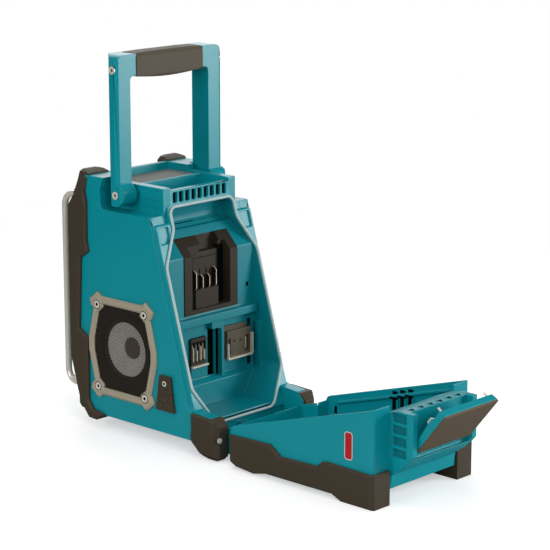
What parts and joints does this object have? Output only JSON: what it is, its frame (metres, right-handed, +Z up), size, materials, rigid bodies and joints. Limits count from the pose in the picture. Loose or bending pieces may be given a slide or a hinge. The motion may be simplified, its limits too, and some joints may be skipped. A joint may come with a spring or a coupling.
{
  "type": "jobsite radio",
  "caption": "Rugged jobsite radio with folding carry handle, guard pipes, side speakers, rubber bumpers and a hinged battery cover lying open behind it.",
  "frame": {"origin": "centre of the bounding box at the surface that the radio stands on", "axes": "+Z up, -Y towards the display, +Y towards the open battery cover, +X to the side with the socket cover"},
  "size_m": [0.164, 0.5481, 0.4292],
  "materials": {
    "teal_plastic": "fine moulded texture",
    "bay_plastic": "fine moulded texture",
    "terminal_plastic": "smooth moulded",
    "contact_metal": "plated",
    "seal_rubber": "soft",
    "mat_rubber": "soft",
    "display_window": "clear and smooth",
    "dark_plastic": "smooth moulded",
    "circuit_board": "lacquered",
    "bumper_rubber": "soft, slightly dusty",
    "pad_rubber": "soft",
    "pipe_steel": "satin",
    "fastener_steel": "plated",
    "speaker_frame_plastic": "moulded",
    "grille_metal": "matt",
    "speaker_cone": "pressed paper",
    "badge_plastic": "smooth"
  },
  "bodies": {
    "radio_body": {"main_housing": "teal_plastic", "hinge_knuckles": "teal_plastic", "battery_bay": "bay_plastic", "main_terminal": "terminal_plastic", "main_blades": "contact_metal", "narrow_terminal": "terminal_plastic", "wide_terminal": "terminal_plastic", "small_blades": "contact_metal", "seal_gasket": "seal_rubber", "tray_mat": "mat_rubber", "front_panel": "teal_plastic", "display_lens": "display_window", "display_module": "dark_plastic", "control_board": "circuit_board", "main_board": "circuit_board", "power_board": "circuit_board", "front_bumper_right": "bumper_rubber", "front_bumper_left": "bumper_rubber", "guard_pipe_right": "pipe_steel", "guard_pipe_left": "pipe_steel", "front_foot": "bumper_rubber", "rear_foot_right": "bumper_rubber", "rear_foot_left": "bumper_rubber", "rear_foot_screws": "fastener_steel", "speaker_frame_right": "speaker_frame_plastic", "speaker_frame_left": "speaker_frame_plastic", "frame_bolts": "fastener_steel", "speaker_grille_right": "grille_metal", "speaker_grille_left": "grille_metal", "speaker_cone_right": "speaker_cone", "speaker_cone_left": "speaker_cone", "speaker_basket_right": "grille_metal", "speaker_basket_left": "grille_metal", "port_panel": "dark_plastic", "port_tab": "bumper_rubber", "port_screw": "fastener_steel", "hinge_pin": "fastener_steel", "pivot_bolts": "fastener_steel"},
    "handle": {"handle_arm_right": "teal_plastic", "handle_arm_left": "teal_plastic", "handle_core": "pipe_steel", "handle_grip": "bumper_rubber", "handle_top_bolts": "fastener_steel"},
    "cover": {"cover_shell": "teal_plastic", "cover_bumper_right": "bumper_rubber", "cover_bumper_left": "bumper_rubber", "cover_badge": "badge_plastic", "latch_pin": "fastener_steel"},
    "latch": {"latch_lever": "teal_plastic", "latch_pad": "pad_rubber", "latch_hooks": "fastener_steel"},
    "port_flap_body": {"port_flap": "bumper_rubber"},
    "knob": {"tuning_knob": "dark_plastic"},
    "power_key": {"power_button": "pad_rubber"},
    "preset_key_1": {"preset_button_1": "pad_rubber"},
    "preset_key_2": {"preset_button_2": "pad_rubber"},
    "preset_key_3": {"preset_button_3": "pad_rubber"},
    "preset_key_4": {"preset_button_4": "pad_rubber"}
  },
  "joints": [
    {"name": "handle_fold", "type": "hinge", "parent": "radio_body", "child": "handle", "pos_m": [0, -0.1619, 0.2743], "axis": [1, 0, 0], "range_deg": [-90, 0]},
    {"name": "cover_hinge", "type": "hinge", "parent": "radio_body", "child": "cover", "pos_m": [0, -0.0235, 0.017], "axis": [1, 0, 0], "range_deg": [0, 90]},
    {"name": "latch_hinge", "type": "hinge", "parent": "cover", "child": "latch", "pos_m": [0, 0.2359, 0.06195], "axis": [1, 0, 0], "range_deg": [0, 26]},
    {"name": "port_flap_hinge", "type": "hinge", "parent": "radio_body", "child": "port_flap_body", "pos_m": [0.0798, -0.088, 0.0658], "axis": [0, -1, 0], "range_deg": [0, 75]},
    {"name": "knob_turn", "type": "hinge", "parent": "radio_body", "child": "knob", "pos_m": [0, -0.232, 0.128], "axis": [0, -1, 0], "continuous": true},
    {"name": "power_press", "type": "slide", "parent": "radio_body", "child": "power_key", "axis": [0, 1, 0], "range_m": [0, 0.0012], "stiffness_N_per_m": 300},
    {"name": "preset_press_1", "type": "slide", "parent": "radio_body", "child": "preset_key_1", "axis": [0, 1, 0], "range_m": [0, 0.0012], "stiffness_N_per_m": 300},
    {"name": "preset_press_2", "type": "slide", "parent": "radio_body", "child": "preset_key_2", "axis": [0, 1, 0], "range_m": [0, 0.0012], "stiffness_N_per_m": 300},
    {"name": "preset_press_3", "type": "slide", "parent": "radio_body", "child": "preset_key_3", "axis": [0, 1, 0], "range_m": [0, 0.0012], "stiffness_N_per_m": 300},
    {"name": "preset_press_4", "type": "slide", "parent": "radio_body", "child": "preset_key_4", "axis": [0, 1, 0], "range_m": [0, 0.0012], "stiffness_N_per_m": 300}
  ]
}
